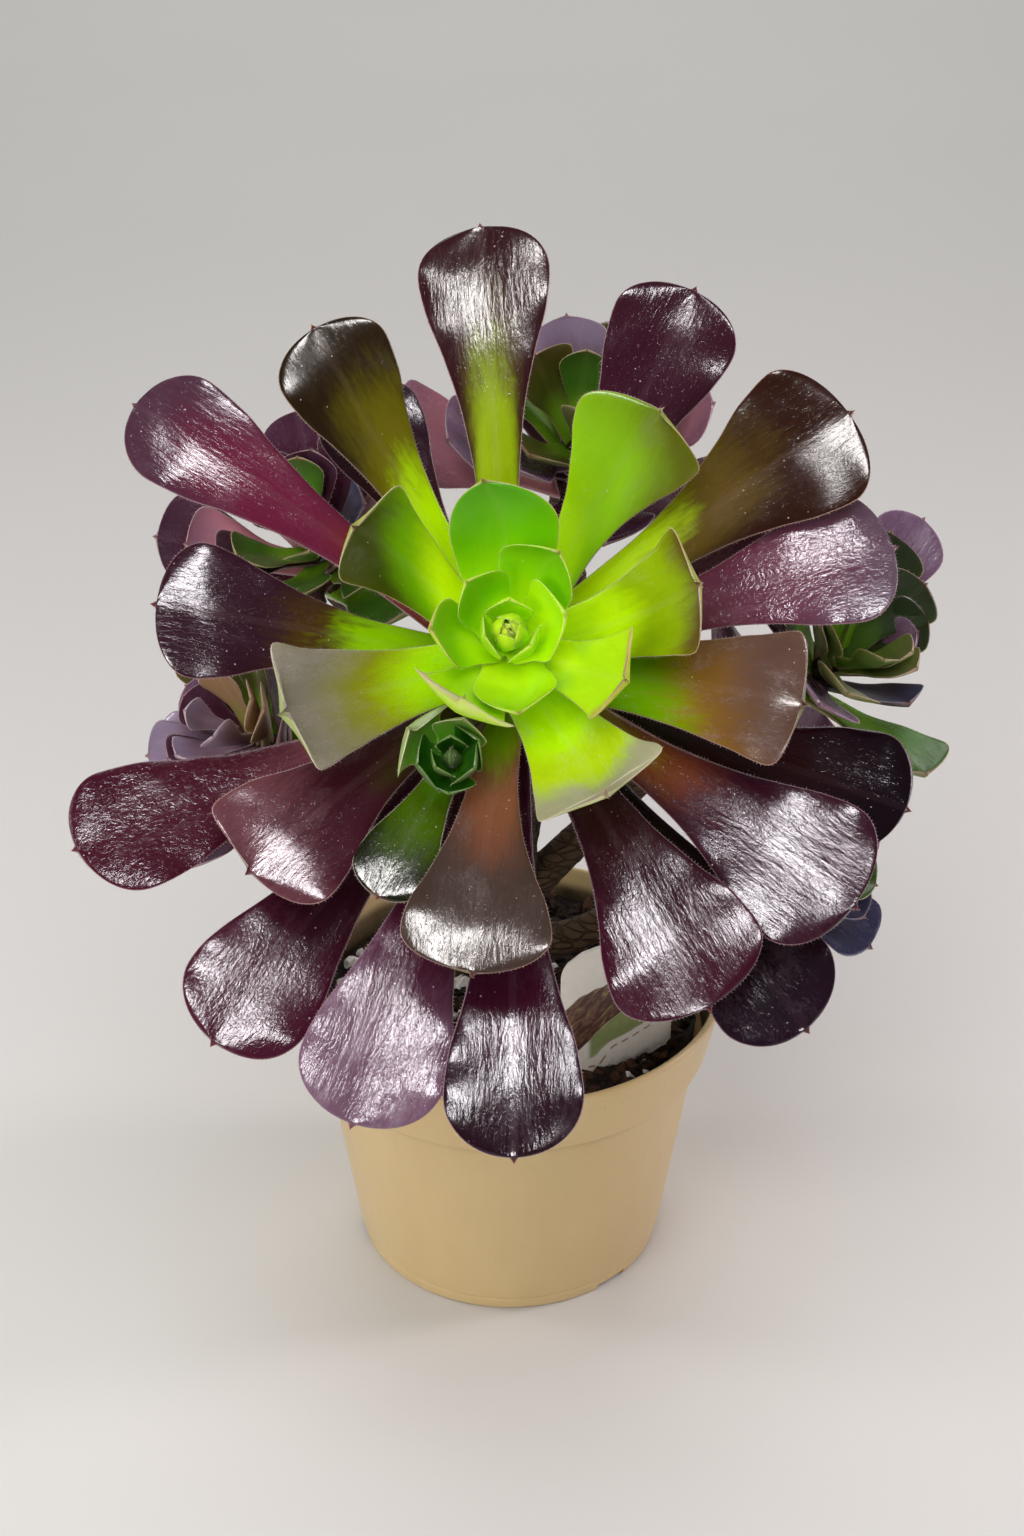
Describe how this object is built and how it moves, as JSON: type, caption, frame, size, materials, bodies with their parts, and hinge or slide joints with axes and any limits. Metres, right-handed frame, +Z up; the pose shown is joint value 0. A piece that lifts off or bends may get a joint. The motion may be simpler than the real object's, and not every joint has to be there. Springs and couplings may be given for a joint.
{
  "type": "potted aeonium",
  "caption": "Branching aeonium with a large green-hearted purple rosette and small side rosettes, in a tan plastic pot with soil and a plant label.",
  "frame": {"origin": "centre of the pot's underside, on the surface the pot stands on", "axes": "+Z up along the pot's axis; -Y is the front, the side that the large rosette faces; +X is the viewer's right"},
  "size_m": [0.2216, 0.1937, 0.3025],
  "materials": {
    "pot_plastic": "satin moulded tan plastic",
    "potting_mix": "damp bark and peat potting mix with white perlite",
    "label_plastic": "printed white plastic sheet",
    "stem_bark": "rough tan stem with leaf scars",
    "leaf_lime": "waxy lime-green leaf",
    "leaf_green": "waxy green leaf, olive at the tip",
    "leaf_bronze": "glossy bronze leaf, green at the base",
    "leaf_purple": "glossy purple leaf with a pale hairy edge",
    "leaf_dark": "glossy dark purple leaf with a pale hairy edge",
    "side_green": "waxy green leaf",
    "side_purple": "satin mauve-purple leaf"
  },
  "bodies": {
    "root": {"pot": "pot_plastic", "soil": "potting_mix", "label": "label_plastic", "stem": "stem_bark", "main_heart": "leaf_lime", "main_inner": "leaf_green", "main_middle": "leaf_bronze", "main_outer": "leaf_purple", "main_lower": "leaf_dark", "back_heart": "side_green", "back_whorl": "side_purple", "right_heart": "side_green", "right_whorl": "side_purple", "upperLeft_heart": "side_green", "upperLeft_whorl": "side_purple", "lowerLeft_heart": "side_green", "lowerLeft_whorl": "side_purple", "lowerRight_heart": "side_green", "lowerRight_whorl": "side_purple"}
  },
  "joints": []
}
